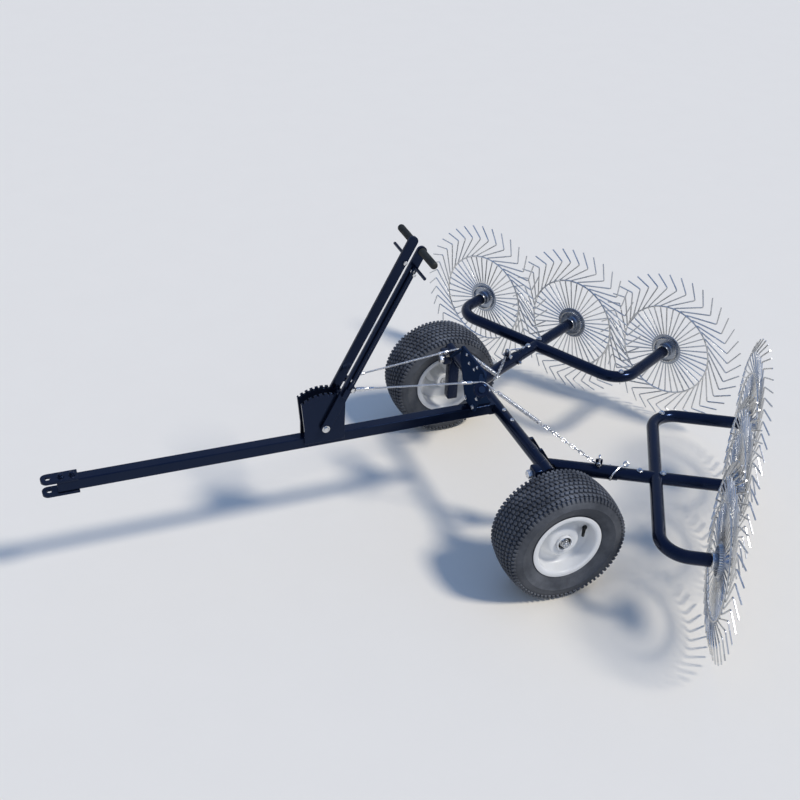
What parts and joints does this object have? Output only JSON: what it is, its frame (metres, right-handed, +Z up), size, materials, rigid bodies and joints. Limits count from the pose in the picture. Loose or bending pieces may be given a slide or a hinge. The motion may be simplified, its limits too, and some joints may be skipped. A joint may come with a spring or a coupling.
{
  "type": "tow-behind acreage rake",
  "caption": "Towed rake with a square drawbar, hand lift levers and two angled gangs of tined rake wheels on a two-wheeled frame.",
  "frame": {"origin": "middle of the footprint's bounding box, on the ground", "axes": "+X towards the hitch, +Y to the machine's left, +Z up"},
  "size_m": [2.4778, 2.2404, 1.0209],
  "materials": {
    "frame_paint": "gloss black powder coat",
    "rim_paint": "gloss white enamel",
    "tyre_rubber": "matt black turf tread",
    "zinc_steel": "dull galvanised",
    "tine_steel": "bright drawn spring steel",
    "bright_steel": "zinc plated",
    "grip_rubber": "matt ribbed rubber"
  },
  "bodies": {
    "frame": {"crossbeam": "frame_paint", "drawbar": "frame_paint", "hitch_clevis": "frame_paint", "lever_quadrant": "frame_paint", "lift_mast": "frame_paint", "lever_pivot_pin": "bright_steel", "axle_leg_left": "frame_paint", "stub_axle_left": "bright_steel", "pulley_left": "bright_steel", "arm_ears_left": "frame_paint", "arm_pivot_pin_left": "bright_steel", "lift_cable_left": "bright_steel", "lift_spring_left": "bright_steel", "lift_chain_left": "bright_steel", "axle_leg_right": "frame_paint", "stub_axle_right": "bright_steel", "pulley_right": "bright_steel", "arm_ears_right": "frame_paint", "arm_pivot_pin_right": "bright_steel", "lift_cable_right": "bright_steel", "lift_spring_right": "bright_steel", "lift_chain_right": "bright_steel"},
    "wheel_left": {"tyre_left": "tyre_rubber", "rim_left": "rim_paint", "wheel_hub_left": "zinc_steel"},
    "hand_lever_left": {"lever_left": "frame_paint", "lever_grip_left": "grip_rubber", "release_rod_left": "frame_paint"},
    "arm_left": {"arm_sleeve_left": "frame_paint", "lock_pin_left": "bright_steel"},
    "gang_left": {"gang_frame_left": "frame_paint"},
    "rake_outer_left": {"rake_wheel_outer_left": "tine_steel"},
    "rake_middle_left": {"rake_wheel_middle_left": "tine_steel"},
    "rake_inner_left": {"rake_wheel_inner_left": "tine_steel"},
    "wheel_right": {"tyre_right": "tyre_rubber", "rim_right": "rim_paint", "wheel_hub_right": "zinc_steel"},
    "hand_lever_right": {"lever_right": "frame_paint", "lever_grip_right": "grip_rubber", "release_rod_right": "frame_paint"},
    "arm_right": {"arm_sleeve_right": "frame_paint", "lock_pin_right": "bright_steel"},
    "gang_right": {"gang_frame_right": "frame_paint"},
    "rake_outer_right": {"rake_wheel_outer_right": "tine_steel"},
    "rake_middle_right": {"rake_wheel_middle_right": "tine_steel"},
    "rake_inner_right": {"rake_wheel_inner_right": "tine_steel"}
  },
  "joints": [
    {"name": "wheel_spin_left", "type": "hinge", "parent": "frame", "child": "wheel_left", "pos_m": [-0.24507, 0.49, 0.203], "axis": [0, 1, 0], "continuous": true},
    {"name": "arm_lift_left", "type": "hinge", "parent": "frame", "child": "arm_left", "pos_m": [-0.29507, 0.262, 0.3], "axis": [0, 1, 0], "range_deg": [0, 25], "deforming": ["lift_spring_left", "lift_chain_left"]},
    {"name": "lever_swing_left", "type": "hinge", "parent": "frame", "child": "hand_lever_left", "pos_m": [0.36893, 0.0355, 0.431], "axis": [0, 1, 0], "range_deg": [0, 55], "deforming": ["lift_cable_left"]},
    {"name": "gang_slide_left", "type": "slide", "parent": "arm_left", "child": "gang_left", "axis": [-0.8746, 0.4848, 0], "range_m": [0, 0.08]},
    {"name": "rake_spin_outer_left", "type": "hinge", "parent": "gang_left", "child": "rake_outer_left", "pos_m": [-0.55486, 0.83705, 0.3], "axis": [-0.8746, 0.4848, 0], "continuous": true},
    {"name": "rake_spin_middle_left", "type": "hinge", "parent": "gang_left", "child": "rake_middle_left", "pos_m": [-0.8041, 0.54416, 0.3], "axis": [-0.8746, 0.4848, 0], "continuous": true},
    {"name": "rake_spin_inner_left", "type": "hinge", "parent": "gang_left", "child": "rake_inner_left", "pos_m": [-1.05335, 0.25127, 0.3], "axis": [-0.8746, 0.4848, 0], "continuous": true},
    {"name": "wheel_spin_right", "type": "hinge", "parent": "frame", "child": "wheel_right", "pos_m": [-0.24507, -0.49, 0.203], "axis": [0, 1, 0], "continuous": true},
    {"name": "arm_lift_right", "type": "hinge", "parent": "frame", "child": "arm_right", "pos_m": [-0.29507, -0.262, 0.3], "axis": [0, 1, 0], "range_deg": [0, 25], "deforming": ["lift_spring_right", "lift_chain_right"]},
    {"name": "lever_swing_right", "type": "hinge", "parent": "frame", "child": "hand_lever_right", "pos_m": [0.36893, -0.0355, 0.431], "axis": [0, 1, 0], "range_deg": [0, 55], "deforming": ["lift_cable_right"]},
    {"name": "gang_slide_right", "type": "slide", "parent": "arm_right", "child": "gang_right", "axis": [-0.8746, -0.4848, 0], "range_m": [0, 0.08]},
    {"name": "rake_spin_outer_right", "type": "hinge", "parent": "gang_right", "child": "rake_outer_right", "pos_m": [-0.55486, -0.83705, 0.3], "axis": [-0.8746, -0.4848, 0], "continuous": true},
    {"name": "rake_spin_middle_right", "type": "hinge", "parent": "gang_right", "child": "rake_middle_right", "pos_m": [-0.8041, -0.54416, 0.3], "axis": [-0.8746, -0.4848, 0], "continuous": true},
    {"name": "rake_spin_inner_right", "type": "hinge", "parent": "gang_right", "child": "rake_inner_right", "pos_m": [-1.05335, -0.25127, 0.3], "axis": [-0.8746, -0.4848, 0], "continuous": true}
  ],
  "couplings": [
    {"joint": "lever_swing_left", "follows": "arm_lift_left", "ratio": 2.2},
    {"joint": "lever_swing_right", "follows": "arm_lift_right", "ratio": 2.2}
  ]
}
